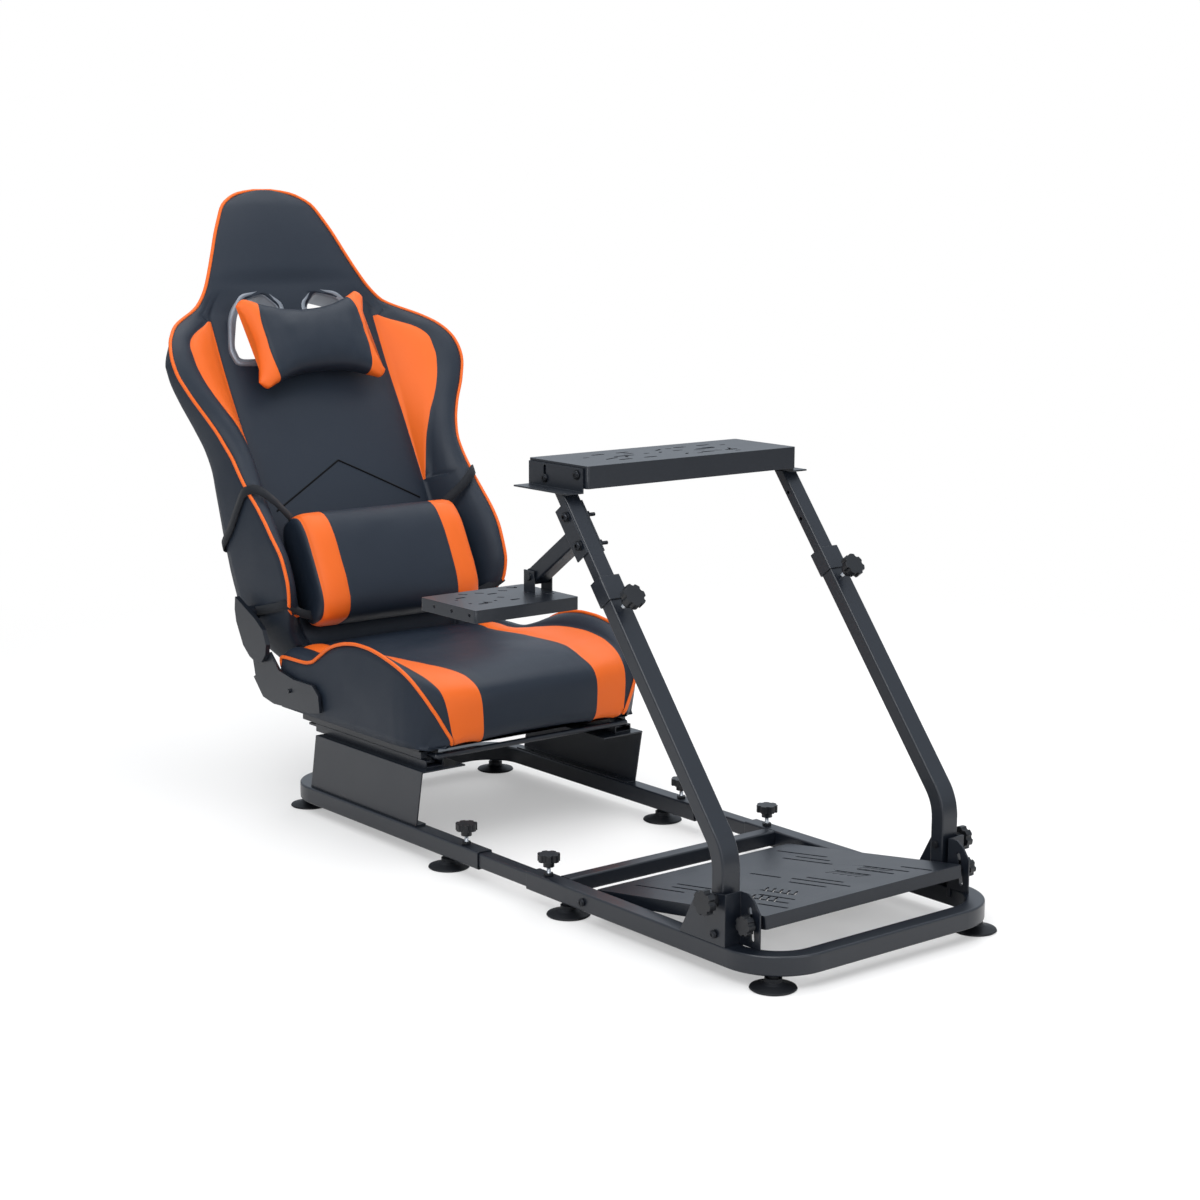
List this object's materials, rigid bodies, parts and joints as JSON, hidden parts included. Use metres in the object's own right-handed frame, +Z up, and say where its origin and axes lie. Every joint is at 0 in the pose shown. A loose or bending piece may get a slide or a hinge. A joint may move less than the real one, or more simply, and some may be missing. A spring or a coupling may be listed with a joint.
{
  "type": "sim racing cockpit",
  "caption": "Racing game cockpit: tube floor frame, two tilted posts with a wheel tray, a side shifter plate, a sloping pedal plate and a reclining bucket seat with pillows.",
  "frame": {"origin": "on the floor under the middle of the whole outline", "axes": "+Z up, -Y is the front where the pedals are, +X is the sitter's left"},
  "size_m": [0.73, 1.7843, 1.1075],
  "materials": {
    "frame_black": "satin black powder coat",
    "foot_rubber": "matte black rubber",
    "knob_plastic": "matte black plastic",
    "bolt_steel": "black oxide steel",
    "leather_dark": "smooth dark blue-black synthetic leather with orange inserts",
    "bezel_plastic": "satin grey plastic",
    "strap_web": "black woven strap"
  },
  "bodies": {
    "rear_base": {"rear_frame": "frame_black", "rear_feet": "foot_rubber", "rear_knobs": "knob_plastic", "seat_bracket_right": "frame_black", "seat_bracket_left": "frame_black", "slider_lower_rails": "frame_black"},
    "extension": {"extension_tubes": "frame_black"},
    "front_base": {"front_frame": "frame_black", "crossbar": "frame_black", "front_feet": "foot_rubber", "front_knobs": "knob_plastic", "column_bracket_right": "frame_black", "column_bracket_left": "frame_black"},
    "column": {"lower_post_right": "frame_black", "lower_post_left": "frame_black", "post_collars": "frame_black", "tilt_knobs": "knob_plastic", "height_knobs": "knob_plastic", "pivot_bolts": "bolt_steel"},
    "upper_column": {"upper_post_right": "frame_black", "upper_post_left": "frame_black", "tray_bracket_right": "frame_black", "tray_bracket_left": "frame_black", "shifter_clamp": "frame_black", "shifter_arm": "frame_black"},
    "tray": {"wheel_tray": "frame_black", "tray_bolts": "bolt_steel"},
    "shifter": {"shifter_plate": "frame_black", "shifter_clevis": "frame_black"},
    "pedals": {"pedal_plate": "frame_black", "pedal_knobs": "knob_plastic", "pedal_hinge_bolts": "bolt_steel"},
    "seat": {"slider_upper_rails": "frame_black", "slider_handle": "frame_black", "seat_pan": "frame_black", "seat_cushion": "leather_dark", "recliner_right": "frame_black", "recliner_left": "frame_black"},
    "back": {"backrest": "leather_dark", "back_hinge_arms": "frame_black", "hole_bezels": "bezel_plastic", "neck_pillow": "leather_dark", "lumbar_pillow": "leather_dark", "back_straps": "strap_web"}
  },
  "joints": [
    {"name": "rear_extension", "type": "slide", "parent": "rear_base", "child": "extension", "axis": [0, -1, 0], "range_m": [-0.06, 0.08]},
    {"name": "front_extension", "type": "slide", "parent": "extension", "child": "front_base", "axis": [0, -1, 0], "range_m": [-0.05, 0.03]},
    {"name": "column_tilt", "type": "hinge", "parent": "front_base", "child": "column", "pos_m": [0.042, -0.769, 0.067], "axis": [-1, 0, 0], "range_deg": [-2, 24]},
    {"name": "column_height", "type": "slide", "parent": "column", "child": "upper_column", "axis": [0, 0.6157, 0.788], "range_m": [-0.035, 0.1]},
    {"name": "tray_tilt", "type": "hinge", "parent": "upper_column", "child": "tray", "pos_m": [0.042, -0.408, 0.695], "axis": [1, 0, 0], "range_deg": [0, 12]},
    {"name": "shifter_tilt", "type": "hinge", "parent": "upper_column", "child": "shifter", "pos_m": [-0.187, -0.322, 0.529], "axis": [1, 0, 0], "range_deg": [-15, 15]},
    {"name": "pedal_tilt", "type": "hinge", "parent": "front_base", "child": "pedals", "pos_m": [0.042, -0.462, 0.037], "axis": [1, 0, 0], "range_deg": [-2, 3]},
    {"name": "seat_slide", "type": "slide", "parent": "rear_base", "child": "seat", "axis": [0, 1, 0], "range_m": [-0.12, 0.04]},
    {"name": "backrest_recline", "type": "hinge", "parent": "seat", "child": "back", "pos_m": [0.042, 0.486, 0.303], "axis": [-1, 0, 0], "range_deg": [-10, 45]}
  ]
}
